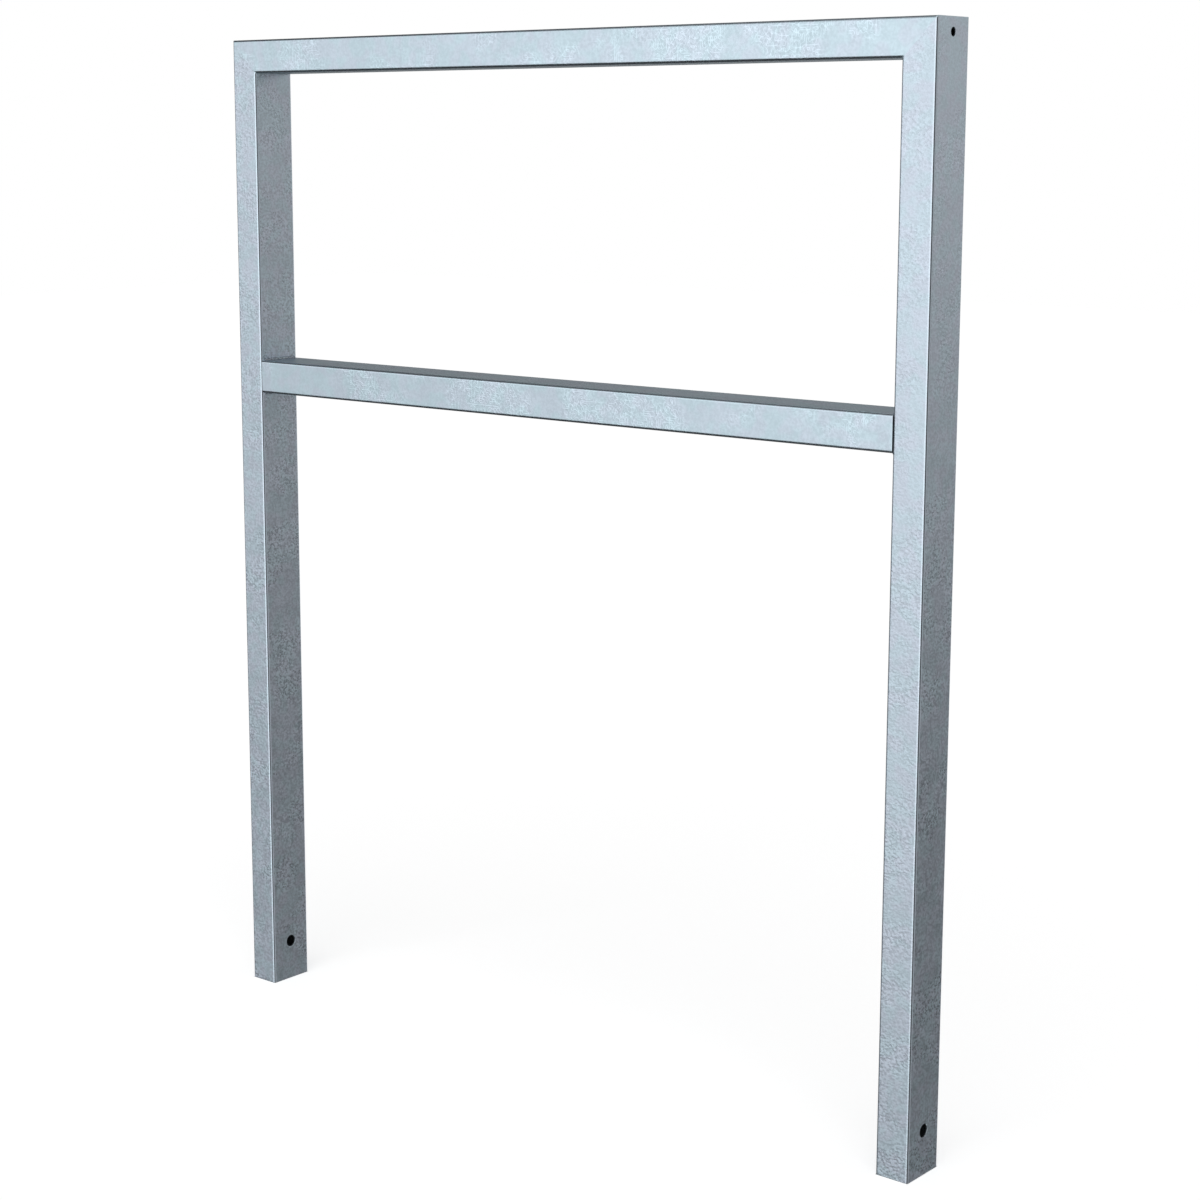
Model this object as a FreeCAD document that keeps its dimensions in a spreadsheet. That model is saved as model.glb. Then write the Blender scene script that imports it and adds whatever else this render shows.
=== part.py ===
import FreeCAD, Part
import math
import os
import Sketcher

# Hoop bike rack: a rectangular hoop of galvanised rectangular hollow section with a cross rail.
# The posts and the top rail are mitred and butt welded all round, with the weld ground flush.
# The cross rail is cut square and butts on the flat inner walls of the posts, flush with their
# faces, so each post's corner radius leaves a narrow open groove beside the end of the rail.
# Fillet welds hold the cross rail above and below. The foot of each post goes in the ground, and
# an anchor bar passes through the hole near its end.
# Sizes are in millimetres: X along the rack, Y through it, Z up. The origin lies midway between
# the posts, at the level of their lower ends.

# Driving dimensions, by the name that the features use.
DIMENSIONS = (
    ("overall_width", 1000.0),
    ("overall_height", 1200.0),
    ("tube_face", 40.0),
    ("tube_depth", 60.0),
    ("wall", 2.0),
    ("corner_radius", 3.2),
    ("cross_rail_top", 810.0),
    ("root_gap", 1.5),
    ("fillet_leg", 2.5),
    ("fillet_crown", 0.3),
    ("fillet_end_radius", 1.0),
    ("anchor_hole", 15.0),
    ("anchor_height", 50.0),
    ("vent_hole", 9.0),
    ("vent_drop", 15.0),
    ("inner_vent_hole", 12.0),
    ("overcut", 5.0),
)

# Lengths that follow from them.
POST_AXIS = "(rack.overall_width / 2 - rack.tube_face / 2)"
POST_INNER_FACE = "(rack.overall_width / 2 - rack.tube_face)"
TOP_RAIL_AXIS = "(rack.overall_height - rack.tube_face / 2)"
CROSS_RAIL_AXIS = "(rack.cross_rail_top - rack.tube_face / 2)"
CROSS_RAIL_UNDERSIDE = "(rack.cross_rail_top - rack.tube_face)"
HALF_GAP = "rack.root_gap / sqrt(2)"
MITRE_REACH = "(rack.tube_face / 2 + rack.overcut)"
MITRE_LEG = "(rack.tube_face + 2 * rack.overcut)"

# Sketch references: the sketch's own origin and vertical axis, and the ends and centre of an edge.
ORIGIN = (-1, 1)
VERTICAL_AXIS = -2
START = 1
END = 2
CENTRE = 3

# Every outline is drawn at about this size first, and its dimensions then resize it.
DRAWN = 1.0

PARTS_FOLDER = "parts"
STEEL_DENSITY = 7.85e-6


def make_sheet(doc):
    """Puts the driving dimensions in the sheet that every feature reads."""
    sheet = doc.addObject("Spreadsheet::Sheet", "rack")
    sheet.Label = "rack"
    for row, (alias, value) in enumerate(DIMENSIONS, start=1):
        sheet.set(f"A{row}", alias)
        sheet.set(f"B{row}", str(value))
        sheet.setAlias(f"B{row}", alias)
    doc.recompute()
    return sheet


def make_body(doc, label):
    """A new piece of the rack."""
    body = doc.addObject("PartDesign::Body", label)
    body.Label = label
    return body


def origin_plane(body, role):
    """One of the three planes through a piece's own origin."""
    for feature in body.Origin.OriginFeatures:
        if feature.Role == role:
            return feature
    raise ValueError(f"{body.Label} has no plane {role}")


def make_sketch(body, name, role):
    """An empty sketch on one of the piece's own planes."""
    sketch = body.newObject("Sketcher::SketchObject", name)
    sketch.AttachmentSupport = [(origin_plane(body, role), "")]
    sketch.MapMode = "FlatFace"
    return sketch


def drive(sketch, kind, references, name, expression, drawn_value):
    """Adds a dimension to a sketch, first as drawn, and ties it to the sheet."""
    index = sketch.addConstraint(Sketcher.Constraint(kind, *references, drawn_value))
    sketch.renameConstraint(index, name)
    sketch.setExpression(f"Constraints.{name}", expression)


def add_rounded_rectangle(sketch, name, size_x, size_y, radius):
    """A rectangle round the sketch's origin, with four equal corner arcs."""
    half = 4 * DRAWN
    corner = DRAWN
    flat = half - corner
    quarter = math.pi / 2
    first = sketch.GeometryCount
    for turn in range(4):
        rotation = FreeCAD.Rotation(FreeCAD.Vector(0, 0, 1), 90 * turn)
        start = rotation.multVec(FreeCAD.Vector(-flat, -half, 0))
        end = rotation.multVec(FreeCAD.Vector(flat, -half, 0))
        centre = rotation.multVec(FreeCAD.Vector(flat, -flat, 0))
        circle = Part.Circle(centre, FreeCAD.Vector(0, 0, 1), corner)
        sketch.addGeometry(Part.LineSegment(start, end), False)
        sketch.addGeometry(Part.ArcOfCircle(circle, (turn - 1) * quarter, turn * quarter), False)
    lines = [first + 2 * turn for turn in range(4)]
    arcs = [first + 2 * turn + 1 for turn in range(4)]
    for turn in range(4):
        following = (turn + 1) % 4
        sketch.addConstraint(Sketcher.Constraint("Tangent", lines[turn], END, arcs[turn], START))
        sketch.addConstraint(Sketcher.Constraint("Tangent", arcs[turn], END, lines[following], START))
    for turn in (0, 2):
        sketch.addConstraint(Sketcher.Constraint("Horizontal", lines[turn]))
        sketch.addConstraint(Sketcher.Constraint("Vertical", lines[turn + 1]))
    for arc in arcs[1:]:
        sketch.addConstraint(Sketcher.Constraint("Equal", arcs[0], arc))
    centred = Sketcher.Constraint("Symmetric", arcs[0], CENTRE, arcs[2], CENTRE, *ORIGIN)
    sketch.addConstraint(centred)
    drive(sketch, "DistanceX", (lines[3], START, lines[1], START), f"{name}_x", size_x, 2 * half)
    drive(sketch, "DistanceY", (lines[0], START, lines[2], START), f"{name}_y", size_y, 2 * half)
    drive(sketch, "Radius", (arcs[0],), f"{name}_radius", radius, corner)


def add_hollow_section(body, role, size_x, size_y):
    """The tube's section: an outer and an inner rounded rectangle, one wall apart."""
    sketch = make_sketch(body, "Section", role)
    inner_x = f"{size_x} - 2 * rack.wall"
    inner_y = f"{size_y} - 2 * rack.wall"
    add_rounded_rectangle(sketch, "outer", size_x, size_y, "rack.corner_radius")
    add_rounded_rectangle(sketch, "inner", inner_x, inner_y, "rack.corner_radius - rack.wall")
    return sketch


def pad_profile(body, sketch, length, both_ways):
    """Extrudes a section, to one side of its plane or half to each side."""
    pad = body.newObject("PartDesign::Pad", "Length")
    pad.Profile = sketch
    pad.setExpression("Length", length)
    if both_ways:
        pad.SideType = "Symmetric"
    return pad


def add_mitre_cut(body, name, corner_x, corner_z, direction):
    """Cuts away a right-angled wedge whose long side lies along a mitre.

    The wedge's square corner is at (corner_x, corner_z), and direction says whether its two equal
    sides run from there towards positive X and Z (1) or negative X and Z (-1).
    """
    sketch = make_sketch(body, f"{name}Outline", "XZ_Plane")
    corner = FreeCAD.Vector(0, 0, 0)
    along_x = FreeCAD.Vector(direction * DRAWN, 0, 0)
    along_z = FreeCAD.Vector(0, direction * DRAWN, 0)
    base = sketch.addGeometry(Part.LineSegment(corner, along_x), False)
    slope = sketch.addGeometry(Part.LineSegment(along_x, along_z), False)
    side = sketch.addGeometry(Part.LineSegment(along_z, corner), False)
    sketch.addConstraint(Sketcher.Constraint("Coincident", base, END, slope, START))
    sketch.addConstraint(Sketcher.Constraint("Coincident", slope, END, side, START))
    sketch.addConstraint(Sketcher.Constraint("Coincident", side, END, base, START))
    sketch.addConstraint(Sketcher.Constraint("Horizontal", base))
    sketch.addConstraint(Sketcher.Constraint("Vertical", side))
    sketch.addConstraint(Sketcher.Constraint("Equal", base, side))
    drive(sketch, "DistanceX", (*ORIGIN, base, START), "corner_x", corner_x, 0.0)
    drive(sketch, "DistanceY", (*ORIGIN, base, START), "corner_z", corner_z, 0.0)
    drive(sketch, "Distance", (base,), "leg", MITRE_LEG, DRAWN)
    cut = body.newObject("PartDesign::Pocket", name)
    cut.Profile = sketch
    cut.Type = "ThroughAll"
    cut.SideType = "Symmetric"
    return cut


def add_round_hole(body, name, diameter, height, depth, reversed_way):
    """Drills square to the YZ plane: through everything, or to a depth on one side of the axis."""
    sketch = make_sketch(body, f"{name}Outline", "YZ_Plane")
    circle = Part.Circle(FreeCAD.Vector(0, DRAWN, 0), FreeCAD.Vector(0, 0, 1), DRAWN)
    edge = sketch.addGeometry(circle, False)
    sketch.addConstraint(Sketcher.Constraint("PointOnObject", edge, CENTRE, VERTICAL_AXIS))
    drive(sketch, "DistanceY", (*ORIGIN, edge, CENTRE), "height", height, DRAWN)
    drive(sketch, "Diameter", (edge,), "diameter", diameter, 2 * DRAWN)
    hole = body.newObject("PartDesign::Pocket", name)
    hole.Profile = sketch
    if depth is None:
        hole.Type = "ThroughAll"
        hole.SideType = "Symmetric"
    else:
        hole.setExpression("Length", depth)
        hole.Reversed = reversed_way
    return hole


def place(piece, x, z, rotation=None):
    """Puts a piece in the rack: its turn, and the place of its origin, tied to the sheet."""
    piece.Placement = FreeCAD.Placement(FreeCAD.Vector(0, 0, 0), rotation or FreeCAD.Rotation())
    piece.setExpression("Placement.Base.x", x)
    piece.setExpression("Placement.Base.z", z)


def half_turn(x, y, z):
    """A turn of 180 degrees about one axis."""
    return FreeCAD.Rotation(FreeCAD.Vector(x, y, z), 180)


def make_post(doc, label, side):
    """An upright tube, mitred at the top, with its outer wall on the side of negative X.

    The right post is the same part, turned half round.
    """
    body = make_body(doc, label)
    section = add_hollow_section(body, "XY_Plane", "rack.tube_face", "rack.tube_depth")
    pad_profile(body, section, "rack.overall_height", False)
    corner_z = f"rack.overall_height - {HALF_GAP} + rack.overcut"
    add_mitre_cut(body, "Mitre", MITRE_REACH, corner_z, -1)
    add_round_hole(body, "AnchorHole", "rack.anchor_hole", "rack.anchor_height", None, False)
    vent_height = "rack.overall_height - rack.vent_drop"
    add_round_hole(body, "OuterVent", "rack.vent_hole", vent_height, "rack.tube_face", False)
    add_round_hole(body, "InnerVent", "rack.inner_vent_hole", CROSS_RAIL_AXIS, "rack.tube_face", True)
    place(body, f"{side} * {POST_AXIS}", "0 mm", half_turn(0, 0, 1) if side > 0 else None)
    return body


def make_top_rail(doc):
    """The tube across the top, mitred at both ends."""
    body = make_body(doc, "top_rail")
    section = add_hollow_section(body, "YZ_Plane", "rack.tube_depth", "rack.tube_face")
    pad_profile(body, section, "rack.overall_width", True)
    corner_x = f"{HALF_GAP} - rack.overcut - rack.overall_width / 2"
    mitre = add_mitre_cut(body, "Mitre", corner_x, f"-{MITRE_REACH}", 1)
    other_end = body.newObject("PartDesign::Mirrored", "OtherMitre")
    other_end.Originals = [mitre]
    other_end.MirrorPlane = (origin_plane(body, "YZ_Plane"), [""])
    body.Tip = other_end
    place(body, "0 mm", TOP_RAIL_AXIS)
    return body


def make_mid_rail(doc):
    """The cross rail, cut square to fit between the flat inner walls of the posts."""
    body = make_body(doc, "mid_rail")
    section = add_hollow_section(body, "YZ_Plane", "rack.tube_depth", "rack.tube_face")
    pad_profile(body, section, f"2 * {POST_INNER_FACE}", True)
    place(body, "0 mm", CROSS_RAIL_AXIS)
    return body


def make_corner_weld(doc, label, side):
    """The butt weld that fills the root gap of a mitre, through the wall and all round the tube.

    Half of it is a slice of the post's section between the mitre plane and the end of the post.
    The other half is its mirror image in the mitre plane, a slice of the rail's section.
    """
    body = make_body(doc, label)
    section = add_hollow_section(body, "XY_Plane", "rack.tube_face", "rack.tube_depth")
    pad_profile(body, section, f"2 * {MITRE_REACH}", True)
    add_mitre_cut(body, "MitrePlaneCut", MITRE_REACH, MITRE_REACH, -1)
    add_mitre_cut(body, "PostEndCut", f"-{MITRE_REACH}", f"-{MITRE_REACH} - {HALF_GAP}", 1)
    mitre_plane = body.newObject("PartDesign::Plane", "MitrePlane")
    mitre_plane.AttachmentSupport = [(origin_plane(body, "XY_Plane"), "")]
    mitre_plane.MapMode = "FlatFace"
    tilt = FreeCAD.Rotation(FreeCAD.Vector(0, 1, 0), 45)
    mitre_plane.AttachmentOffset = FreeCAD.Placement(FreeCAD.Vector(0, 0, 0), tilt)
    rail_half = body.newObject("PartDesign::Mirrored", "RailHalf")
    rail_half.TransformMode = "Whole shape"
    rail_half.MirrorPlane = (mitre_plane, [""])
    body.Tip = rail_half
    place(body, f"{side} * {POST_AXIS}", TOP_RAIL_AXIS, half_turn(0, 0, 1) if side > 0 else None)
    return body


def make_fillet_weld(doc, label, side, level, rotation):
    """A slightly crowned bead in the corner between a post's inner wall and the cross rail.

    It runs between the tubes' corner radii, and its two ends are rounded off.
    """
    body = make_body(doc, label)
    sketch = make_sketch(body, "Bead", "XZ_Plane")
    drawn_leg = 2 * DRAWN
    past_chord = 0.6
    corner = FreeCAD.Vector(0, 0, 0)
    toe_x = FreeCAD.Vector(drawn_leg, 0, 0)
    toe_z = FreeCAD.Vector(0, drawn_leg, 0)
    crown = (toe_x + toe_z) * past_chord
    base = sketch.addGeometry(Part.LineSegment(corner, toe_x), False)
    face = sketch.addGeometry(Part.Arc(toe_x, crown, toe_z), False)
    side_leg = sketch.addGeometry(Part.LineSegment(toe_z, corner), False)
    sketch.addConstraint(Sketcher.Constraint("Coincident", base, START, *ORIGIN))
    sketch.addConstraint(Sketcher.Constraint("Coincident", base, END, face, START))
    sketch.addConstraint(Sketcher.Constraint("Coincident", face, END, side_leg, START))
    sketch.addConstraint(Sketcher.Constraint("Coincident", side_leg, END, base, START))
    sketch.addConstraint(Sketcher.Constraint("Horizontal", base))
    sketch.addConstraint(Sketcher.Constraint("Vertical", side_leg))
    sketch.addConstraint(Sketcher.Constraint("Equal", base, side_leg))
    drive(sketch, "Distance", (base,), "leg", "rack.fillet_leg", drawn_leg)
    half_chord = "(rack.fillet_leg ^ 2 / 2)"
    bead_radius = f"({half_chord} + rack.fillet_crown ^ 2) / (2 * rack.fillet_crown)"
    drive(sketch, "Radius", (face,), "bead_radius", bead_radius, 2 * drawn_leg)
    bead = pad_profile(body, sketch, "rack.tube_depth - 2 * rack.corner_radius", True)
    doc.recompute()
    end_arcs = []
    for index, edge in enumerate(bead.Shape.Edges, start=1):
        if isinstance(edge.Curve, Part.Circle):
            end_arcs.append(f"Edge{index}")
    rounding = body.newObject("PartDesign::Fillet", "RoundedEnds")
    rounding.Base = (bead, end_arcs)
    rounding.setExpression("Radius", "rack.fillet_end_radius")
    body.Tip = rounding
    place(body, f"{side} * {POST_INNER_FACE}", level, rotation)
    return body


def make_rack(doc):
    """Every piece of the rack, in the order of assembly."""
    above = "rack.cross_rail_top"
    below = CROSS_RAIL_UNDERSIDE
    return [
        make_post(doc, "left_post", -1),
        make_post(doc, "right_post", 1),
        make_top_rail(doc),
        make_mid_rail(doc),
        make_corner_weld(doc, "left_corner_weld", -1),
        make_corner_weld(doc, "right_corner_weld", 1),
        make_fillet_weld(doc, "left_upper_fillet_weld", -1, above, None),
        make_fillet_weld(doc, "left_lower_fillet_weld", -1, below, half_turn(1, 0, 0)),
        make_fillet_weld(doc, "right_upper_fillet_weld", 1, above, half_turn(0, 0, 1)),
        make_fillet_weld(doc, "right_lower_fillet_weld", 1, below, half_turn(0, 1, 0)),
    ]


def check_model(doc, pieces):
    """Stops if any feature failed or any piece is empty or invalid."""
    for feature in doc.Objects:
        if "Invalid" in feature.State or "Error" in feature.State:
            raise RuntimeError(f"{feature.Name} is {feature.State}")
    for piece in pieces:
        if piece.Shape.isNull() or not piece.Shape.isValid():
            raise RuntimeError(f"{piece.Label} has no valid shape")


def main():
    """Builds the rack, checks it and writes one file for each piece."""
    doc = FreeCAD.newDocument("hoop_bike_rack")
    make_sheet(doc)
    pieces = make_rack(doc)
    doc.recompute()
    check_model(doc, pieces)
    os.makedirs(PARTS_FOLDER, exist_ok=True)
    for piece in pieces:
        piece.Shape.exportStep(os.path.join(PARTS_FOLDER, f"{piece.Label}.step"))
        print(f"{piece.Label}: {piece.Shape.Volume * STEEL_DENSITY:.4f} kg, {len(piece.Shape.Solids)} solid")


main()
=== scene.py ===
"""Looks of a hoop bike rack: galvanised rectangular tube, mitred at the top, with a cross rail.

All sizes are in metres. X runs along the rack, Y through it and Z up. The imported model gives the
place and the outer size of every tube, and the fields below give what a box can't tell.
"""

import logging
import math
from collections.abc import Callable
from dataclasses import dataclass, field
from enum import Enum

import bmesh
import bpy
from mathutils import Matrix, Vector


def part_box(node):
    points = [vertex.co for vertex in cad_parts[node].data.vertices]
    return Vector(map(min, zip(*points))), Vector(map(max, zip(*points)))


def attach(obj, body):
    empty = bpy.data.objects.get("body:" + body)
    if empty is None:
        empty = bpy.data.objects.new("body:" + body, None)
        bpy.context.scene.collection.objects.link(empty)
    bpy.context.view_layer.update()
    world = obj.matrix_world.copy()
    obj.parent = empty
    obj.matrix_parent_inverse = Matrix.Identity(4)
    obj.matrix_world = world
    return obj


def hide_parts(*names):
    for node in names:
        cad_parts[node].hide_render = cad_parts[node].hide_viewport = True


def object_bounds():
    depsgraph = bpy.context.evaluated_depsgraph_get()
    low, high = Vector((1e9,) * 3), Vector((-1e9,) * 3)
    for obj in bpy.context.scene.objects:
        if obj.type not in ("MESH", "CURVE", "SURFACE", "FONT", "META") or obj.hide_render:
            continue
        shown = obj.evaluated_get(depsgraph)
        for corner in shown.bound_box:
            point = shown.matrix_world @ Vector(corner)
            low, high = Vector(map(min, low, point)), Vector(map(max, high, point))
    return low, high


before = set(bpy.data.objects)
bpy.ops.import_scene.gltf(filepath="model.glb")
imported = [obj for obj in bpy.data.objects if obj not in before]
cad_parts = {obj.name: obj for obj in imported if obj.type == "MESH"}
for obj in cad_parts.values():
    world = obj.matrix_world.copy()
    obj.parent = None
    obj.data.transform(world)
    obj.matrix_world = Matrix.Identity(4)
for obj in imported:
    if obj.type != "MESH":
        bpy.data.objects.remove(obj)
CAD_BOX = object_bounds()

BODY = "root"
PHOTO_SIDE = 1200  # Pixels along each side of the photograph.
TOUCHING = 1e-5  # Metres within which two places count as one.

Socket = bpy.types.NodeSocket
Feed = Socket | float | tuple[float, ...]
Colour = tuple[float, float, float, float]
Span = tuple[float, float]
log = logging.getLogger("hoop_bike_rack")


class Side(Enum):
    """The two ends of the rack."""

    LEFT = -1
    RIGHT = 1

    @property
    def word(self) -> str:
        """The side's name in lower case."""
        return self.name.lower()


class Level(Enum):
    """The two faces of the cross rail that carry a fillet weld."""

    LOWER = -1
    UPPER = 1

    @property
    def word(self) -> str:
        """The level's name in lower case."""
        return self.name.lower()


class Axis(Enum):
    """The rack's three directions."""

    X = 0
    Y = 1
    Z = 2


class NodeBoard:
    """A node tree, with short calls that add a node and join its sockets."""

    def __init__(self, tree: bpy.types.NodeTree) -> None:
        """Takes the tree that the nodes go in."""
        self.tree = tree

    def add(
        self, kind: str, feeds: dict[int | str, Feed] | None = None,
        **settings: str | bpy.types.NodeTree,
    ) -> bpy.types.Node:
        """Adds one node.

        Args:
            kind: The node's type.
            feeds: What goes in each input, by name or number: a socket or a plain value.
            settings: The node's own options.

        Returns:
            The new node.
        """
        node = self.tree.nodes.new(kind)
        for name, value in settings.items():
            setattr(node, name, value)
        for name, feed in (feeds or {}).items():
            self.feed(node.inputs[name], feed)
        return node

    def feed(self, target: Socket, feed: Feed) -> None:
        """Joins a socket to an input, or sets the input to a plain value.

        Args:
            target: The input.
            feed: The socket or the value.
        """
        if isinstance(feed, bpy.types.NodeSocket):
            self.tree.links.new(feed, target)
        else:
            target.default_value = feed

    def math(self, operation: str, first: Feed, second: Feed) -> Socket:
        """The result of one arithmetic step."""
        return self.add("ShaderNodeMath", {0: first, 1: second}, operation=operation).outputs[0]

    def spread(self, value: Feed, given: Span, wanted: Span = (0.0, 1.0)) -> Socket:
        """Maps one span of values smoothly to another, and holds it there beyond the ends.

        Args:
            value: The value to map.
            given: The ends of the span that the value comes in.
            wanted: What these ends become.

        Returns:
            The mapped value.
        """
        feeds = {0: value, 1: given[0], 2: given[1], 3: wanted[0], 4: wanted[1]}
        return self.add("ShaderNodeMapRange", feeds, interpolation_type="SMOOTHSTEP").outputs[0]

    def mix(self, share: Feed, first: Feed, second: Feed) -> Socket:
        """A number that goes from the first (share 0) to the second (share 1)."""
        return self.add("ShaderNodeMix", {0: share, 2: first, 3: second}).outputs[0]

    def mix_colours(self, share: Feed, first: Feed, second: Feed) -> Socket:
        """A colour that goes from the first (share 0) to the second (share 1)."""
        feeds = {0: share, 6: first, 7: second}
        return self.add("ShaderNodeMix", feeds, data_type="RGBA").outputs[2]


def grey(level: float) -> Colour:
    """A plain grey, where 0 is black and 1 is white."""
    return (level, level, level, 1.0)


def new_group(name: str, inputs: dict[str, str], outputs: dict[str, str]) -> NodeBoard:
    """Makes an empty shader node group.

    Args:
        name: The group's name.
        inputs: The type of socket for each input.
        outputs: The type of socket for each output.

    Returns:
        A board on the group's tree, which holds its input and output nodes.
    """
    tree = bpy.data.node_groups.new(name, "ShaderNodeTree")
    for label, kind in inputs.items():
        tree.interface.new_socket(name=label, in_out="INPUT", socket_type=kind)
    for label, kind in outputs.items():
        tree.interface.new_socket(name=label, in_out="OUTPUT", socket_type=kind)
    board = NodeBoard(tree)
    board.add("NodeGroupInput")
    board.add("NodeGroupOutput")
    return board


@dataclass(frozen=True)
class SpotField:
    """A field of spots in object space.

    The size is that of the largest spots, in metres, and the detail is how many times they are
    halved. The shift moves the field, so that no two fields have their spots in the same places.
    The edges are the two values between which a crisp spot goes from dark to light.
    """

    size: float
    shift: float
    detail: float = 1.0
    roughness: float = 0.5
    edges: Span = (0.3, 0.7)

    def soft(self, board: NodeBoard, place: Socket) -> Socket:
        """The field with soft spots, round 0.5.

        Args:
            board: The board of the group.
            place: The position that the field is read at.

        Returns:
            The field.
        """
        shift = (self.shift, 2.0 * self.shift, 3.0 * self.shift)
        moved = board.add("ShaderNodeVectorMath", {0: place, 1: shift}, operation="ADD")
        feeds = {
            "Vector": moved.outputs[0],
            "Scale": 1.0 / self.size,
            "Detail": self.detail,
            "Roughness": self.roughness,
        }
        return board.add("ShaderNodeTexNoise", feeds).outputs[0]

    def crisp(self, board: NodeBoard, place: Socket) -> Socket:
        """The field with crisp spots, -1 in a dark one and 1 in a light one."""
        return board.spread(self.soft(board, place), self.edges, (-1.0, 1.0))


@dataclass
class ZincBloom:
    """The mottle of a hot-dip zinc coat, as a shader node group.

    The group puts out a tone and a tint round 0.5, and a height for the bump. Grain and rings come
    and go with the patches: each span of patch values below goes with a span of strength.
    """

    name: str = "zinc_bloom"
    grain: SpotField = SpotField(0.0030, 0.11)
    swirls: SpotField = SpotField(0.0075, 0.29)
    loops: SpotField = SpotField(0.0050, 0.37, detail=0.0)
    clouds: SpotField = SpotField(0.036, 0.19)
    patches: SpotField = SpotField(0.050, 0.53)
    tints: SpotField = SpotField(0.022, 0.73)
    line_width: float = 0.08
    grain_patch: Span = (0.36, 0.64)
    grain_strength: Span = (0.65, 1.3)
    ring_patch: Span = (0.48, 0.6)
    ring_strength: Span = (0.0, 1.0)
    middle: float = 0.5
    tree: bpy.types.NodeTree | None = field(default=None, init=False)

    def group(self) -> bpy.types.NodeTree:
        """The node group, built on first use.

        Returns:
            The group's tree.
        """
        if self.tree is None:
            self.tree = self.build()
        return self.tree

    def rings(self, board: NodeBoard, place: Socket) -> Socket:
        """Thin light lines that close into small rings and loops.

        Args:
            board: The board of the group.
            place: The position that the lines are read at.

        Returns:
            1 on a line and 0 off it.
        """
        ridge = board.math("SUBTRACT", self.loops.soft(board, place), self.middle)
        return board.spread(board.math("ABSOLUTE", ridge, 0.0), (0.0, self.line_width), (1.0, 0.0))

    def build(self) -> bpy.types.NodeTree:
        """Builds the group, with an input for the strength of each kind of mottle.

        Returns:
            The group's tree.
        """
        strengths = {name: "NodeSocketFloat" for name in ("Grain", "Swirls", "Rings", "Clouds")}
        results = {name: "NodeSocketFloat" for name in ("Tone", "Tint", "Height")}
        board = new_group(self.name, {"Position": "NodeSocketVector"} | strengths, results)
        given = board.tree.nodes["Group Input"].outputs
        result = board.tree.nodes["Group Output"].inputs
        place = given["Position"]
        patch = self.patches.soft(board, place)
        grain = board.math("MULTIPLY", self.grain.crisp(board, place), given["Grain"])
        grain_share = board.spread(patch, self.grain_patch, self.grain_strength)
        grain = board.math("MULTIPLY", grain, grain_share)
        rings = board.math("MULTIPLY", self.rings(board, place), given["Rings"])
        ring_share = board.spread(patch, self.ring_patch, self.ring_strength)
        rings = board.math("MULTIPLY", rings, ring_share)
        swirls = board.math("MULTIPLY", self.swirls.crisp(board, place), given["Swirls"])
        clouds = board.math("MULTIPLY", self.clouds.crisp(board, place), given["Clouds"])
        relief = board.math("ADD", board.math("ADD", grain, rings), swirls)
        board.feed(result["Height"], relief)
        board.feed(result["Tone"], board.math("ADD", board.math("ADD", relief, clouds), self.middle))
        board.feed(result["Tint"], self.tints.soft(board, place))
        return board.tree


@dataclass(frozen=True)
class WornAndHighlitBends:
    """The rounded bends and rims of a tube, where handling has rubbed the zinc smooth, and where the
    colour is raised as a painted highlight along the rounded edges.

    The tilts are in degrees from the nearest of the rack's three directions.
    """

    name: str = "rubbed"
    flat_tilt: float = 4.0
    bend_tilt: float = 20.0
    roughness: float = 0.2
    # Painted highlight: the bends' tone is raised, so the rounded edges are coloured lighter.
    tone: float = 0.9

    def mark(self, piece: bpy.types.Object) -> None:
        """Writes on each face of a tube how far it is a bend, rubbed smooth and painted light: 0 on a
        flat and 1 on a bend.

        Args:
            piece: The finished tube.
        """
        marks = piece.data.attributes.new(self.name, "FLOAT", "FACE")
        for face in piece.data.polygons:
            tilt = math.degrees(math.acos(min(1.0, max(abs(part) for part in face.normal))))
            share = (tilt - self.flat_tilt) / (self.bend_tilt - self.flat_tilt)
            marks.data[face.index].value = min(1.0, max(0.0, share))

    def blend(self, board: NodeBoard, plain: Socket, rubbed: float) -> Socket:
        """A finish's plain value on the flats, which goes over to the bends' value: the rubbed
        roughness, or the lighter tone of the painted highlight.
        """
        mask = board.add("ShaderNodeAttribute", attribute_name=self.name).outputs["Fac"]
        return board.mix(mask, plain, rubbed)


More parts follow.
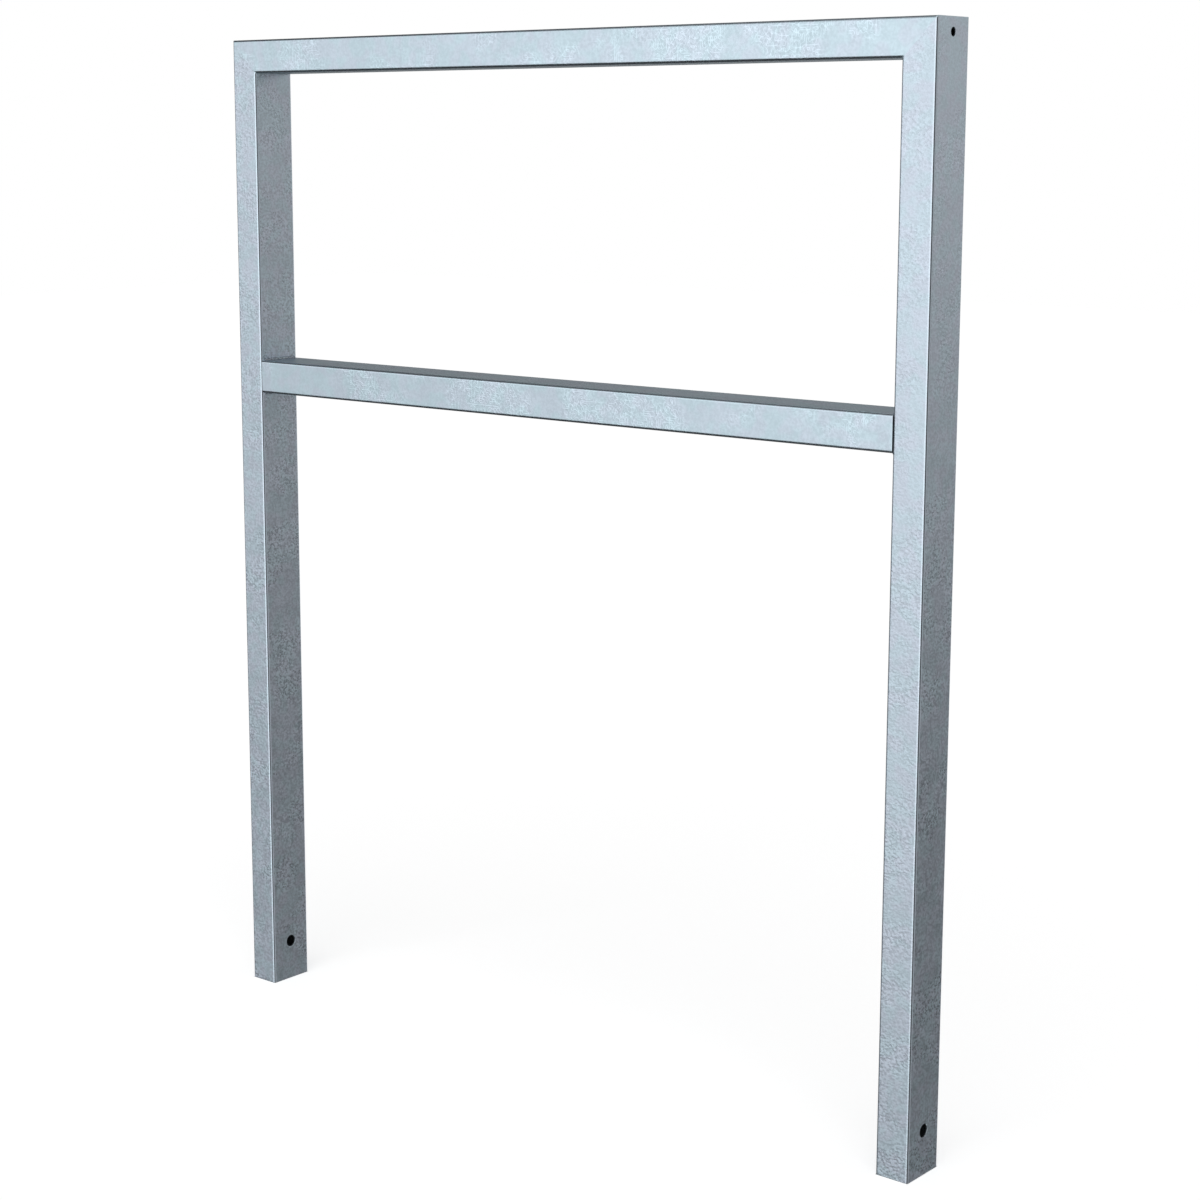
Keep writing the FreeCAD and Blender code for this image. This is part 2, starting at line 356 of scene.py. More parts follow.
@dataclass(frozen=True)
class ZincFinish:
    """One galvanised finish: its colour, its gloss and how strongly each kind of mottle shows.

    A swing is how far a value moves each way with the mottle, and the relief is the height of the
    bump, in metres. The stretch multiplies the places that the mottle is read at, so above 1 it
    makes the spots shorter that way. The tint leans between cyan and lilac.
    """

    name: str
    slot: str
    colour: tuple[float, float, float]
    grain: float
    swirls: float
    rings: float
    clouds: float
    stretch: tuple[float, float, float] = (1.0, 1.0, 1.0)
    metallic: float = 0.85
    grazing_tint: float = 0.35
    roughness: float = 0.35
    roughness_swing: float = 0.08
    tone_swing: float = 0.2
    tint_swing: float = 0.02
    tint_green: float = 0.6
    tint_edges: Span = (0.4, 0.6)
    bump: float = 0.4
    relief: float = 0.00025

    def shade(self, factor: float, lean: float) -> Colour:
        """The finish's colour made lighter or darker, and with its tint.

        Args:
            factor: How much lighter the colour is made.
            lean: The tint: 1 leans to cyan and -1 to lilac.

        Returns:
            The colour.
        """
        red, green, blue = (part * factor for part in self.colour)
        cooler = self.tint_swing * lean
        return (red * (1.0 - cooler), green * (1.0 + self.tint_green * cooler), blue, 1.0)

    def tone_range(self, board: NodeBoard, tone: Socket, lean: float) -> Socket:
        """The finish's colour from its darkest tone to its lightest, at one lean of tint.

        Args:
            board: The board of the material.
            tone: The mottle's tone, from 0 to 1.
            lean: The tint: 1 leans to cyan and -1 to lilac.

        Returns:
            The colour.
        """
        darkest = self.shade(1.0 - self.tone_swing, lean)
        lightest = self.shade(1.0 + self.tone_swing, lean)
        return board.mix_colours(tone, darkest, lightest)

    def mottle(self, board: NodeBoard, bloom: ZincBloom) -> bpy.types.Node:
        """Adds the zinc's mottle, as strong as this finish shows it.

        Args:
            board: The board of the material.
            bloom: The mottle that all zinc on the rack shares.

        Returns:
            The node of the mottle's group.
        """
        place = board.add("ShaderNodeTexCoord").outputs["Object"]
        drawn = board.add("ShaderNodeVectorMath", {0: place, 1: self.stretch}, operation="MULTIPLY")
        feeds = {
            "Position": drawn.outputs[0],
            "Grain": self.grain,
            "Swirls": self.swirls,
            "Rings": self.rings,
            "Clouds": self.clouds,
        }
        return board.add("ShaderNodeGroup", feeds, node_tree=bloom.group())

    def material(self, bloom: ZincBloom, bends: WornAndHighlitBends) -> bpy.types.Material:
        """Builds the finish as a material.

        Args:
            bloom: The mottle that all zinc on the rack shares.
            bends: How the zinc is rubbed smooth on the bends of a tube, and painted lighter there as a
                highlight.

        Returns:
            The material.
        """
        made = bpy.data.materials.new(self.name)
        made.use_nodes = True
        board = NodeBoard(made.node_tree)
        shader = made.node_tree.nodes["Principled BSDF"].inputs
        mottle = self.mottle(board, bloom).outputs
        # Painted highlight: the tone goes up on the bends, so the rounded edges are coloured lighter.
        tone = bends.blend(board, mottle["Tone"], bends.tone)
        lilac = self.tone_range(board, tone, -1.0)
        cyan = self.tone_range(board, tone, 1.0)
        lean = board.spread(mottle["Tint"], self.tint_edges)
        board.feed(shader["Base Color"], board.mix_colours(lean, lilac, cyan))
        board.feed(shader["Metallic"], self.metallic)
        board.feed(shader["Specular Tint"], grey(self.grazing_tint))
        in_dark = self.roughness - self.roughness_swing
        in_light = self.roughness + self.roughness_swing
        rough = board.spread(tone, (0.0, 1.0), (in_dark, in_light))
        board.feed(shader["Roughness"], bends.blend(board, rough, bends.roughness))
        feeds = {"Height": mottle["Height"], "Strength": self.bump, "Distance": self.relief}
        board.feed(shader["Normal"], board.add("ShaderNodeBump", feeds).outputs[0])
        return made


def new_piece(name: str, shape: bmesh.types.BMesh) -> bpy.types.Object:
    """Makes an object of a finished bmesh, and frees the bmesh.

    Args:
        name: The object's name.
        shape: The bmesh.

    Returns:
        The object, linked to the scene.
    """
    mesh = bpy.data.meshes.new(name)
    shape.to_mesh(mesh)
    shape.free()
    piece = bpy.data.objects.new(name, mesh)
    bpy.context.scene.collection.objects.link(piece)
    return piece


def settle(piece: bpy.types.Object) -> None:
    """Applies a piece's modifiers, so that its own mesh is the finished one.

    Args:
        piece: The piece, which keeps its name.
    """
    graph = bpy.context.evaluated_depsgraph_get()
    finished = bpy.data.meshes.new_from_object(piece.evaluated_get(graph))
    finished.name = piece.name
    piece.modifiers.clear()
    rough = piece.data
    piece.data = finished
    bpy.data.meshes.remove(rough)


def dress(piece: bpy.types.Object, material: bpy.types.Material, node: str) -> None:
    """Gives a piece its finish, fixes it to the rack and lets it stand for its CAD node.

    Args:
        piece: The finished piece.
        material: The finish's material.
        node: The CAD node that the piece replaces.
    """
    piece.data.materials.clear()
    piece.data.materials.append(material)
    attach(piece, BODY)
    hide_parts(node)
    log.info("%s stands for %s: %d faces", piece.name, node, len(piece.data.polygons))


@dataclass(frozen=True)
class HollowSection:
    """A rectangular hollow section, with its corners rounded in arcs."""

    width: float
    depth: float
    wall: float = 0.002
    corner_radius: float = 0.0032
    arc_steps: int = 8

    def tube(self, length: float) -> bmesh.types.BMesh:
        """Makes a straight tube of this section, from Z = 0 upwards.

        Args:
            length: The tube's length.

        Returns:
            The tube, with its wall closed at both ends and its bore open.
        """
        shape = bmesh.new()
        bmesh.ops.create_grid(shape, x_segments=1, y_segments=1, size=0.5)
        bmesh.ops.scale(shape, vec=(self.width, self.depth, 1.0), verts=shape.verts)
        bmesh.ops.bevel(
            shape, geom=shape.verts[:], offset=self.corner_radius, offset_type="OFFSET",
            segments=self.arc_steps, profile=0.5, affect="VERTICES", material=-1)
        bore = shape.faces[:]
        bmesh.ops.inset_region(
            shape, faces=bore, thickness=self.wall, use_even_offset=True, use_boundary=True)
        bmesh.ops.delete(shape, geom=bore, context="FACES_ONLY")
        grown = bmesh.ops.extrude_face_region(shape, geom=shape.faces[:])["geom"]
        top = [part for part in grown if isinstance(part, bmesh.types.BMVert)]
        bmesh.ops.translate(shape, vec=(0.0, 0.0, length), verts=top)
        bmesh.ops.recalc_face_normals(shape, faces=shape.faces)
        return shape


def saw(shape: bmesh.types.BMesh, point: Vector, away: Vector) -> None:
    """Saws a tube along a plane and closes the sawn wall.

    Args:
        shape: The tube.
        point: A point of the cut.
        away: The direction of the end that falls off.
    """
    geometry = shape.verts[:] + shape.edges[:] + shape.faces[:]
    cut = bmesh.ops.bisect_plane(
        shape, geom=geometry, plane_co=point, plane_no=away.normalized(), clear_outer=True)
    edges = [part for part in cut["geom_cut"] if isinstance(part, bmesh.types.BMEdge)]
    bmesh.ops.bridge_loops(shape, edges=edges)
    bmesh.ops.recalc_face_normals(shape, faces=shape.faces)


def paint_bore_shade(
    piece: bpy.types.Object, along: Axis, bore_shade: bpy.types.Material,
    end_facing: float = 0.7, skin: float = 0.0006,
) -> None:
    """Gives the bore, the hole walls and the square-cut ends of a tube their own duller finish, whose
    near-black colour is painted shade for the shadow inside the tube and in the grooves at the rail
    ends.

    The middle of each outer bend lies as deep, and takes that finish too, as a thin painted dark line.

    Args:
        piece: The dressed tube.
        along: The direction that the tube runs in.
        bore_shade: The duller finish, darkened as painted shade.
        end_facing: How squarely a face of an end looks along the tube, from 0 to 1.
        skin: How far in from the outer faces the duller finish starts.
    """
    piece.data.materials.append(bore_shade)
    corners = [Vector(corner) for corner in piece.bound_box]
    across = [axis.value for axis in Axis if axis is not along]
    for face in piece.data.polygons:
        inside = True
        for axis in across:
            low = min(corner[axis] for corner in corners)
            high = max(corner[axis] for corner in corners)
            inside = inside and low + skin < face.center[axis] < high - skin
        if inside or abs(face.normal[along.value]) > end_facing:
            face.material_index = 1


@dataclass(frozen=True)
class DrilledHole:
    """A round hole that runs along X, through one or more walls."""

    radius: float
    height: float
    start: float
    end: float
    steps: int = 48

    def drill(self) -> bpy.types.Object:
        """Makes the plug of material that the drill takes out.

        Returns:
            The plug, in place.
        """
        shape = bmesh.new()
        turned = Matrix.Rotation(math.pi / 2, 4, "Y")
        middle = Matrix.Translation(((self.start + self.end) / 2, 0.0, self.height))
        bmesh.ops.create_cone(
            shape, cap_ends=True, segments=self.steps, radius1=self.radius, radius2=self.radius,
            depth=abs(self.end - self.start), matrix=middle @ turned)
        return new_piece("drill", shape)

    def owns(self, edge: bmesh.types.BMEdge) -> bool:
        """Says whether an edge lies on this hole's wall.

        Args:
            edge: An edge of the drilled piece.

        Returns:
            True if both its ends do.
        """
        low, high = sorted((self.start, self.end))
        on_wall = True
        for vertex in edge.verts:
            reach = math.hypot(vertex.co.y, vertex.co.z - self.height)
            on_wall = on_wall and abs(reach - self.radius) < TOUCHING and low <= vertex.co.x <= high
        return on_wall


def drill_holes(piece: bpy.types.Object, holes: list[DrilledHole]) -> None:
    """Drills holes through a piece.

    Args:
        piece: The piece whose mesh changes.
        holes: The holes, in place.
    """
    drills = [hole.drill() for hole in holes]
    for drill in drills:
        cut = piece.modifiers.new("hole", "BOOLEAN")
        cut.operation = "DIFFERENCE"
        cut.solver = "EXACT"
        cut.object = drill
    settle(piece)
    for drill in drills:
        bpy.data.objects.remove(drill)


def soften(
    piece: bpy.types.Object, chosen: Callable[[bmesh.types.BMEdge], bool], radius: float,
    steps: int = 3, sharp: float = math.radians(60),
) -> None:
    """Rounds chosen sharp edges by the thickness of the zinc that gathers on them.

    Args:
        piece: The piece whose mesh changes.
        chosen: Says of one edge whether it is rounded.
        radius: How far the rounding reaches on each side.
        steps: The number of faces across the rounding.
        sharp: The angle past which an edge is sharp.
    """
    shape = bmesh.new()
    shape.from_mesh(piece.data)
    edges = [
        edge for edge in shape.edges
        if edge.is_manifold and edge.calc_face_angle(0.0) > sharp and chosen(edge)
    ]
    bmesh.ops.bevel(
        shape, geom=edges, offset=radius, offset_type="OFFSET", segments=steps,
        profile=0.5, affect="EDGES", material=-1)
    shape.to_mesh(piece.data)
    shape.free()


def smooth_shading(piece: bpy.types.Object, crease: float = math.radians(50)) -> None:
    """Shades a piece smoothly, with its flat faces flat and its creases sharp.

    Args:
        piece: The piece whose mesh changes.
        crease: The angle past which an edge stays a crease.
    """
    piece.data.shade_smooth()
    piece.data.set_sharp_from_angle(angle=crease)
    weighted = piece.modifiers.new("flat faces stay flat", "WEIGHTED_NORMAL")
    weighted.keep_sharp = True
    weighted.weight = 100
    settle(piece)


@dataclass
class Posts:
    """The two uprights: mitred at the top, cut square at the foot, with their drilled holes."""

    finish: ZincFinish
    bends: WornAndHighlitBends
    root_gap: float = 0.0015
    anchor_radius: float = 0.0075
    anchor_height: float = 0.05
    vent_radius: float = 0.0045
    vent_drop: float = 0.015
    rail_vent_radius: float = 0.006
    foot_rim: float = 0.0005
    hole_rim: float = 0.0004
    overcut: float = 0.005

    def holes(self, side: Side) -> list[DrilledHole]:
        """Places the holes of one post.

        Args:
            side: The post's side.

        Returns:
            The anchor hole through both walls, the vent hole in the outer wall, and the vent hole
            in the inner wall, behind the end of the cross rail.
        """
        low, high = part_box(f"{side.word}_post")
        rail_low, rail_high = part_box("mid_rail")
        outer = high.x if side is Side.RIGHT else low.x
        inner = low.x if side is Side.RIGHT else high.x
        middle = (low.x + high.x) / 2
        rail_middle = (rail_low.z + rail_high.z) / 2
        vent_height = CAD_BOX[1].z - self.vent_drop
        outwards = side.value * self.overcut
        return [
            DrilledHole(self.anchor_radius, self.anchor_height, inner - outwards, outer + outwards),
            DrilledHole(self.vent_radius, vent_height, middle, outer + outwards),
            DrilledHole(self.rail_vent_radius, rail_middle, inner - outwards, middle),
        ]

    def build(self, side: Side) -> bpy.types.Object:
        """Builds one post in place.

        Args:
            side: The post's side.

        Returns:
            The post, sawn, drilled and rounded.
        """
        name = f"{side.word}_post"
        low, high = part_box(name)
        section = HollowSection(high.x - low.x, high.y - low.y)
        shape = section.tube(CAD_BOX[1].z)
        corner = Vector((-side.value * section.width / 2, 0.0, CAD_BOX[1].z - section.width))
        mitre = Vector((-side.value, 0.0, 1.0)).normalized()
        saw(shape, corner - mitre * self.root_gap / 2, mitre)
        bmesh.ops.translate(shape, vec=((low.x + high.x) / 2, 0.0, low.z), verts=shape.verts)
        piece = new_piece(f"{name}_tube", shape)
        holes = self.holes(side)
        drill_holes(piece, holes)
        foot = low.z + TOUCHING
        soften(piece, lambda edge: all(v.co.z < foot for v in edge.verts), self.foot_rim)
        soften(piece, lambda edge: any(hole.owns(edge) for hole in holes), self.hole_rim)
        smooth_shading(piece)
        self.bends.mark(piece)
        return piece

    def make(self, material: bpy.types.Material, bore_shade: bpy.types.Material) -> None:
        """Builds and dresses both posts.

        Args:
            material: The material of the outside.
            bore_shade: The duller material of the bore, darkened as painted shade.
        """
        for side in Side:
            piece = self.build(side)
            dress(piece, material, f"{side.word}_post")
            paint_bore_shade(piece, Axis.Z, bore_shade)


@dataclass
class Rails:
    """The top rail, mitred at both ends, and the cross rail, cut square."""

    finish: ZincFinish
    bends: WornAndHighlitBends
    root_gap: float = 0.0015
    right_rim: float = 0.0009
    left_rim: float = 0.0003

    def lay(self, shape: bmesh.types.BMesh, low: Vector, high: Vector) -> None:
        """Turns an upright tube to lie along X.

        Args:
            shape: The tube.
            low: The lowest corner of the box that the tube fills.
            high: The highest corner of that box.
        """
        turned = Matrix.Rotation(math.pi / 2, 3, "Y")
        bmesh.ops.rotate(shape, cent=(0.0, 0.0, 0.0), matrix=turned, verts=shape.verts)
        centre = (low + high) / 2
        bmesh.ops.translate(shape, vec=(low.x, centre.y, centre.z), verts=shape.verts)

    def top_rail(self) -> bpy.types.Object:
        """Builds the top rail in place.

        Returns:
            The rail, sawn at both ends.
        """
        low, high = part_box("top_rail")
        section = HollowSection(high.z - low.z, high.y - low.y)
        low.x, high.x = CAD_BOX[0].x, CAD_BOX[1].x
        shape = section.tube(high.x - low.x)
        self.lay(shape, low, high)
        for side in Side:
            inner = side.value * (high.x - section.width)
            mitre = Vector((side.value, 0.0, -1.0)).normalized()
            saw(shape, Vector((inner, 0.0, low.z)) - mitre * self.root_gap / 2, mitre)
        piece = new_piece("top_rail_tube", shape)
        smooth_shading(piece)
        self.bends.mark(piece)
        return piece

    def cross_rail(self) -> bpy.types.Object:
        """Builds the cross rail in place.

        Returns:
            The rail, with its sawn rims rounded.
        """
        low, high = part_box("mid_rail")
        shape = HollowSection(high.z - low.z, high.y - low.y).tube(high.x - low.x)
        self.lay(shape, low, high)
        piece = new_piece("cross_rail_tube", shape)
        end = high.x - TOUCHING
        soften(piece, lambda edge: all(v.co.x > end for v in edge.verts), self.right_rim)
        soften(piece, lambda edge: all(v.co.x < -end for v in edge.verts), self.left_rim)
        smooth_shading(piece)
        self.bends.mark(piece)
        return piece

    def make(self, material: bpy.types.Material, bore_shade: bpy.types.Material) -> None:
        """Builds and dresses both rails.

        Args:
            material: The material of the outside.
            bore_shade: The duller material of the bore, darkened as painted shade.
        """
        for piece, node in ((self.top_rail(), "top_rail"), (self.cross_rail(), "mid_rail")):
            dress(piece, material, node)
            paint_bore_shade(piece, Axis.X, bore_shade)


class MitreWelds:
    """The butt welds of the two top corners, ground flush with the tubes."""

    def make(self, material: bpy.types.Material) -> None:
        """Dresses the welds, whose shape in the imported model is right.

        Args:
            material: The material of the rails, which the welds share.
        """
        for side in Side:
            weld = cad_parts[f"{side.word}_corner_weld"]
            weld.data.materials.clear()
            weld.data.materials.append(material)
            log.info("%s keeps its packed shape", weld.name)


@dataclass
class FilletWelds:
    """The four beads that hold the cross rail, each with the ripples of its run.

    The depth, the crown and the end size are shares of a bead's leg. The bow is how far the middle
    of a ripple trails its toes.
    """

    finish: ZincFinish
    ripples: int = 24
    steps_per_ripple: int = 6
    ripple_depth: float = 0.14
    crown: float = 0.12
    crown_cuts: int = 7
    bow: float = 0.0009
    end_taper: float = 0.003
    end_size: float = 0.3

    def swell(self, along: float, length: float) -> float:
        """The bead's size at a place along it, as a share of its full leg.

        Args:
            along: The distance from the start of the bead.
            length: The bead's length.

        Returns:
            1 on a ripple's crest, less in its valley and towards the two ends.
        """
        phase = (along / length * self.ripples) % 1.0
        ripple = 1.0 - self.ripple_depth * (1.0 - phase) ** 2
        to_end = min(1.0, min(along, length - along) / self.end_taper)
        end = math.sqrt(max(0.0, 1.0 - (1.0 - to_end) ** 2))
        return ripple * (self.end_size + (1.0 - self.end_size) * end)

    def section(self, leg: float) -> bmesh.types.BMesh:
        """The bead's section: its root at the origin, its legs along X and Z, its face crowned.

        Args:
            leg: The length of each leg.

        Returns:
            One face, whose crown trails along Y as a ripple does.
        """
        shape = bmesh.new()
        places = ((0.0, 0.0, 0.0), (leg, 0.0, 0.0), (0.0, 0.0, leg))
        corners = [shape.verts.new(place) for place in places]
        shape.faces.new(corners)
        toe_to_toe = shape.edges.get(corners[1:])
        bmesh.ops.subdivide_edges(shape, edges=[toe_to_toe], cuts=self.crown_cuts)
        for vertex in shape.verts:
            share = 4.0 * vertex.co.x * vertex.co.z / leg ** 2
            lift = share * self.crown * leg / math.sqrt(2)
            bmesh.ops.translate(shape, vec=(lift, -share * self.bow, lift), verts=[vertex])
        return shape

    def run(self, leg: float, length: float) -> bmesh.types.BMesh:
        """Runs a bead along Y from the origin, ripple by ripple.

        Args:
            leg: The length of each leg.
            length: The bead's length.

        Returns:
            The bead, with both ends closed.
        """
        shape = self.section(leg)
        steps = self.ripples * self.steps_per_ripple
        size = 1.0
        end = shape.faces[:]
        verts = shape.verts[:]
        for step in range(steps + 1):
            if step > 0:
                grown = bmesh.ops.extrude_face_region(shape, geom=end)["geom"]
                end = [part for part in grown if isinstance(part, bmesh.types.BMFace)]
                verts = [part for part in grown if isinstance(part, bmesh.types.BMVert)]
                bmesh.ops.translate(shape, vec=(0.0, length / steps, 0.0), verts=verts)
            wanted = self.swell(length * step / steps, length)
            bmesh.ops.scale(shape, vec=(wanted / size, 1.0, wanted / size), verts=verts)
            size = wanted
        return shape

    def build(self, side: Side, level: Level) -> bpy.types.Object:
        """Builds one bead in the corner between a post and the cross rail.

        Args:
            side: The post that the bead runs along.
            level: The face of the cross rail that it runs along.

        Returns:
            The bead, in place.
        """
        node = f"{side.word}_{level.word}_fillet_weld"
        low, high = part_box(node)
        shape = self.run(high.x - low.x, high.y - low.y)
        bmesh.ops.scale(shape, vec=(-side.value, 1.0, level.value), verts=shape.verts)
        bmesh.ops.recalc_face_normals(shape, faces=shape.faces)
        root = Vector((
            high.x if side is Side.RIGHT else low.x,
            low.y,
            low.z if level is Level.UPPER else high.z,
        ))
        bmesh.ops.translate(shape, vec=root, verts=shape.verts)
        piece = new_piece(f"{node}_bead", shape)
        smooth_shading(piece)
        return piece

    def make(self, material: bpy.types.Material) -> None:
        """Builds and dresses the four beads.

        Args:
            material: The material of the beads.
        """
        for side in Side:
            for level in Level:
                piece = self.build(side, level)
                dress(piece, material, f"{side.word}_{level.word}_fillet_weld")


@dataclass
class PhotoCamera:
    """The camera at the photograph's place and angle.

    The angles are in radians. The focal length and the centre are in pixels of the photograph.
    """

    place: tuple[float, float, float] = (1.764563, -2.104228, 1.084621)
    yaw: float = 0.697050
    pitch: float = 0.174103
    focal_pixels: float = 2430.83
    centre_pixels: tuple[float, float] = (562.729, 563.690)
    sensor: float = 36.0

    def make(self) -> None:
        """Makes the camera and gives it to the scene."""
        lens = bpy.data.cameras.new("photo_camera")
        lens.sensor_width = self.sensor
        lens.lens = self.focal_pixels * self.sensor / PHOTO_SIDE
        lens.shift_x = 0.5 - self.centre_pixels[0] / PHOTO_SIDE
        lens.shift_y = self.centre_pixels[1] / PHOTO_SIDE - 0.5
        camera = bpy.data.objects.new("photo_camera", lens)
        camera.location = self.place
        camera.rotation_euler = (math.pi / 2 - self.pitch, 0.0, self.yaw)
        bpy.context.scene.collection.objects.link(camera)
        bpy.context.scene.camera = camera


def towards(bearing: float, height: float) -> Vector:
    """The way from the rack to a place around it.

    Args:
        bearing: The angle from the front (-Y) towards the right (+X), in degrees.
        height: The angle upwards, in degrees.

    Returns:
        The direction, of length 1.
    """
    turn, rise = math.radians(bearing), math.radians(height)
    return Vector((math.sin(turn) * math.cos(rise), -math.cos(turn) * math.cos(rise), math.sin(rise)))


@dataclass(frozen=True)
class SoftPanel:
    """A soft panel of the surround, as the zinc mirrors it.

    The bearing runs from the front (-Y) towards the right (+X), and all angles are in degrees. The
    level is the panel's own brightness at its middle, where 1 is white, and it fades out at its reach.
    """

    bearing: float
    height: float
    reach: float
    level: float

    def glow(self, board: NodeBoard, look: Socket) -> Socket:
        """The panel's brightness along a line of sight.

        Args:
            board: The board of the world.
            look: The direction of the line of sight.

        Returns:
            The brightness.
        """
        middle = tuple(towards(self.bearing, self.height))
        facing = board.add("ShaderNodeVectorMath", {0: look, 1: middle}, operation="DOT_PRODUCT")
        rim = math.cos(math.radians(self.reach))
        return board.spread(facing.outputs["Value"], (rim, 1.0), (0.0, self.level))


@dataclass
class Studio:
    """A pale floor, a white backdrop, a soft surround and one soft key light."""

    floor_half: float = 12.0
    floor_colour: float = 0.8
    floor_lift: float = 0.6
    room_level: float = 0.32
    mirrored_room: float = 0.03
    right_tint: Colour = (1.025, 0.993, 0.974, 1.0)
    right_fade: float = 0.6
    panels: tuple[SoftPanel, ...] = (
        SoftPanel(bearing=2.0, height=10.0, reach=59.0, level=1.2),
        SoftPanel(bearing=-37.0, height=-5.0, reach=26.0, level=0.46),
        SoftPanel(bearing=-55.0, height=12.0, reach=25.0, level=0.59),
        SoftPanel(bearing=79.0, height=8.0, reach=77.0, level=0.36),
        SoftPanel(bearing=151.0, height=11.0, reach=28.0, level=0.65),
        SoftPanel(bearing=-154.0, height=4.0, reach=46.0, level=0.6),
        SoftPanel(bearing=-100.0, height=-14.0, reach=36.0, level=0.24),
        SoftPanel(bearing=0.0, height=90.0, reach=57.0, level=0.9),
        SoftPanel(bearing=0.0, height=-90.0, reach=40.0, level=1.1),
        SoftPanel(bearing=180.0, height=-28.0, reach=34.0, level=0.4),
    )
    key_bearing: float = 25.0
    key_height: float = 52.0
    key_spread: float = 50.0
    key_level: float = 0.8

    def floor(self) -> None:
        """Makes the floor, which keeps the rack's shadow and shows white."""
        shape = bmesh.new()
        bmesh.ops.create_grid(shape, x_segments=1, y_segments=1, size=self.floor_half)
        piece = new_piece("floor", shape)
        made = bpy.data.materials.new("pale_floor")
        made.use_nodes = True
        board = NodeBoard(made.node_tree)
        board.tree.nodes.clear()
        pale = board.add("ShaderNodeBsdfDiffuse", {"Color": grey(self.floor_colour)})
        path = board.add("ShaderNodeLightPath")
        lift = board.math("MULTIPLY", path.outputs["Is Camera Ray"], self.floor_lift)
        lift = board.math("MULTIPLY", lift, self.open_ground(board))
        glow = board.add("ShaderNodeEmission", {"Strength": lift})
        both = board.add("ShaderNodeAddShader", {0: pale.outputs[0], 1: glow.outputs[0]})
        board.add("ShaderNodeOutputMaterial", {"Surface": both.outputs[0]})
        piece.data.materials.append(made)
        piece.visible_glossy = False

    def open_ground(self, board: NodeBoard) -> Socket:
        """Masks the floor inside the feet of the two posts, where the tubes keep it dark.

        Args:
            board: The board of the floor's material.

        Returns:
            0 under a post and 1 beside it.
        """
        low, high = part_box("right_post")
        place = board.add("ShaderNodeTexCoord").outputs["Object"]
        parts = board.add("ShaderNodeSeparateXYZ", {0: place}).outputs
        from_middle = board.math("ABSOLUTE", parts[0], 0.0)
        past_inner = board.math("GREATER_THAN", from_middle, low.x)
        before_outer = board.math("LESS_THAN", from_middle, high.x)
        between_faces = board.math("LESS_THAN", board.math("ABSOLUTE", parts[1], 0.0), high.y)
        under = board.math("MULTIPLY", board.math("MULTIPLY", past_inner, before_outer), between_faces)
        return board.math("SUBTRACT", 1.0, under)

    def mirrored_level(self, board: NodeBoard, look: Socket) -> Feed:
        """How bright the surround is as the zinc mirrors it.

        Args:
            board: The board of the world.
            look: The direction of the line of sight.

        Returns:
            The sum of a dim room and all its panels: bright in front, and grey at the sides and
            behind, as the photographed metal shows it.
        """
        level: Feed = self.mirrored_room
        for panel in self.panels:
            level = board.math("ADD", level, panel.glow(board, look))
        return level

    def room_colour(self, board: NodeBoard, look: Socket, in_mirror: Socket) -> Socket:
        """The colour of the surround.

        Args:
            board: The board of the world.
            look: The direction of the line of sight.
            in_mirror: 1 where the zinc mirrors the surround, and else 0.

        Returns:
            White, and in the mirror slightly warm towards the right.
        """
        across = board.add("ShaderNodeSeparateXYZ", {0: look}).outputs[0]
        rightness = board.spread(across, (0.0, self.right_fade))
        warmth = board.math("MULTIPLY", rightness, in_mirror)
        return board.mix_colours(warmth, grey(1.0), self.right_tint)

    def room(self) -> None:
        """Makes the surround: white to the camera, plain to matt surfaces, panels to the zinc."""
        world = bpy.data.worlds.new("studio")
        bpy.context.scene.world = world
        world.use_nodes = True
        board = NodeBoard(world.node_tree)
        board.tree.nodes.clear()
        look = board.add("ShaderNodeTexCoord").outputs["Generated"]
        path = board.add("ShaderNodeLightPath").outputs
        in_mirror = board.math("MAXIMUM", path["Is Glossy Ray"], path["Is Transmission Ray"])
        level = board.mix(in_mirror, self.room_level, self.mirrored_level(board, look))
        level = board.mix(path["Is Camera Ray"], level, 1.0)
        feeds = {"Color": self.room_colour(board, look, in_mirror), "Strength": level}
        back = board.add("ShaderNodeBackground", feeds)
        board.add("ShaderNodeOutputWorld", {"Surface": back.outputs[0]})
        world.cycles.sampling_method = "NONE"

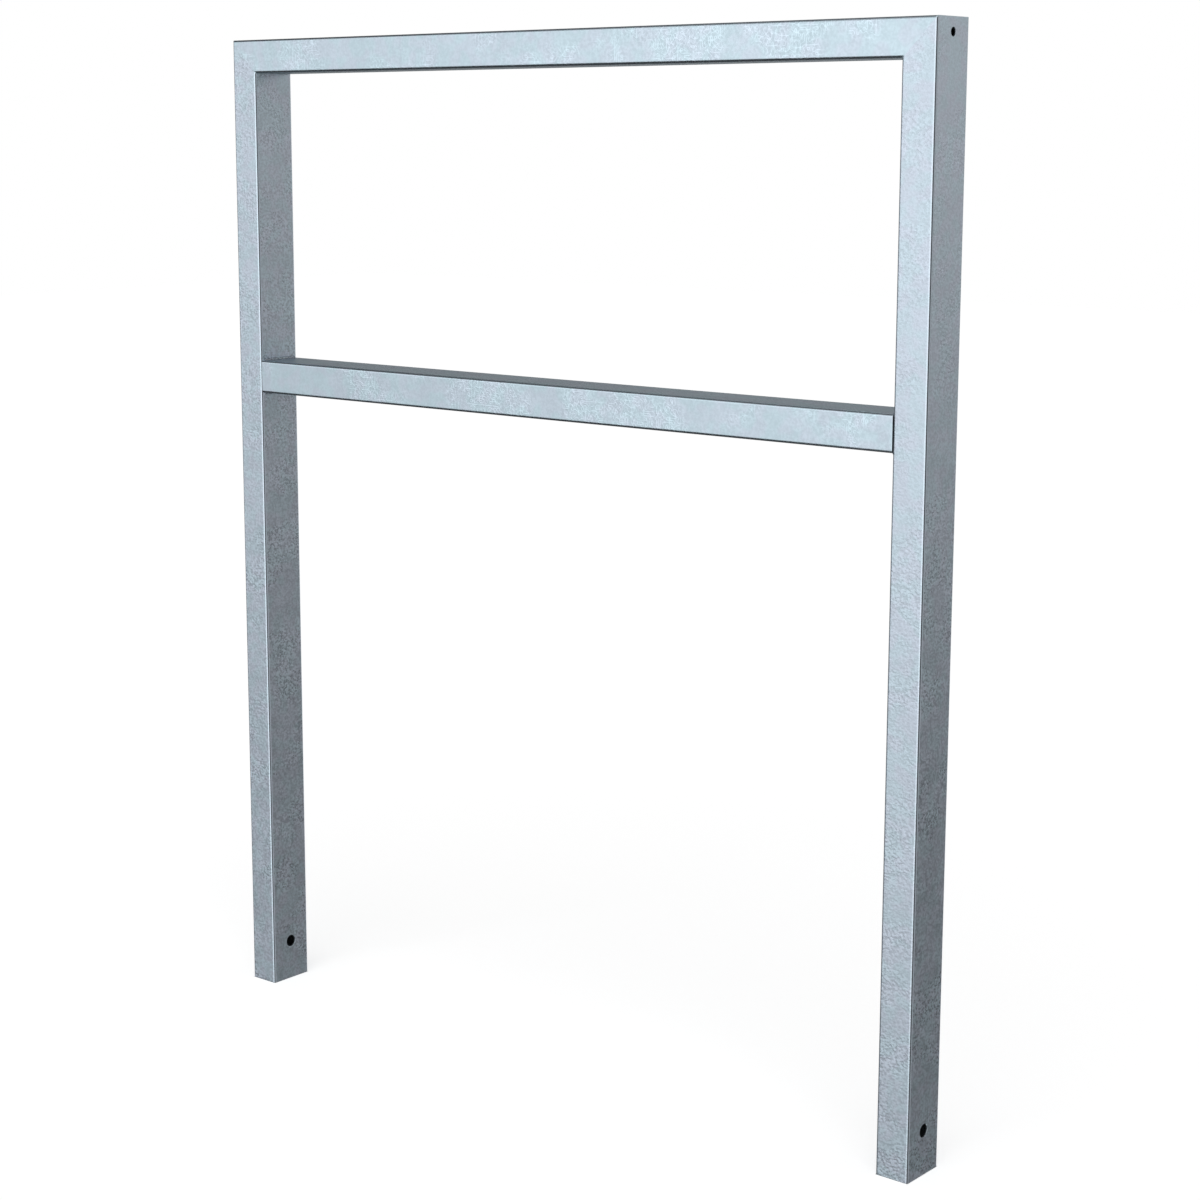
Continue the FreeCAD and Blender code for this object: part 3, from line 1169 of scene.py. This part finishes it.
    def key(self) -> None:
        """Makes the key light: a wide, even light from the front, whose shadows are soft."""
        light = bpy.data.lights.new("key_light", "SUN")
        light.energy = self.key_level
        light.angle = math.radians(self.key_spread)
        lamp = bpy.data.objects.new("key_light", light)
        from_rack = towards(self.key_bearing, self.key_height)
        lamp.rotation_euler = (-from_rack).to_track_quat("-Z", "Y").to_euler()
        lamp.visible_glossy = False
        bpy.context.scene.collection.objects.link(lamp)

    def make(self) -> None:
        """Builds the floor, the surround and the key light."""
        self.floor()
        self.room()
        self.key()
        bpy.context.scene.view_settings.view_transform = "Standard"
        log.info("the studio has %d soft panels", len(self.panels))


def main() -> None:
    """Builds the rack's looks, the studio and the camera."""
    logging.basicConfig(level=logging.INFO, format="%(name)s: %(message)s")
    bloom = ZincBloom()
    bends = WornAndHighlitBends()
    post_zinc = ZincFinish(
        "galvanised_post", "galvanised_tube", (0.62, 0.718, 0.812),
        grain=0.37, swirls=0.04, rings=0.0, clouds=0.07, stretch=(1.0, 1.0, 1.15))
    rail_zinc = ZincFinish(
        "galvanised_rail", "galvanised_tube", (0.582, 0.694, 0.777),
        grain=0.11, swirls=0.03, rings=0.5, clouds=0.035, metallic=0.97, roughness_swing=-0.04)
    weld_zinc = ZincFinish(
        "galvanised_weld", "galvanised_weld", (0.38, 0.445, 0.5),
        grain=0.5, swirls=0.15, rings=0.0, clouds=0.1, metallic=0.97, roughness=0.3)
    # Painted shade: the bore's near-black colour stands in for the shadow inside the tubes, in the
    # holes and at the rail ends.
    shaded_bore_zinc = ZincFinish(
        "galvanised_bore", "galvanised_tube", (0.1, 0.115, 0.13),
        grain=0.3, swirls=0.2, rings=0.0, clouds=0.2, metallic=0.3, roughness=0.65)
    post_material = post_zinc.material(bloom, bends)
    rail_material = rail_zinc.material(bloom, bends)
    shaded_bore_material = shaded_bore_zinc.material(bloom, bends)
    Posts(post_zinc, bends).make(post_material, shaded_bore_material)
    Rails(rail_zinc, bends).make(rail_material, shaded_bore_material)
    MitreWelds().make(rail_material)
    FilletWelds(weld_zinc).make(weld_zinc.material(bloom, bends))
    Studio().make()
    PhotoCamera().make()


if __name__ == "__main__":
    main()
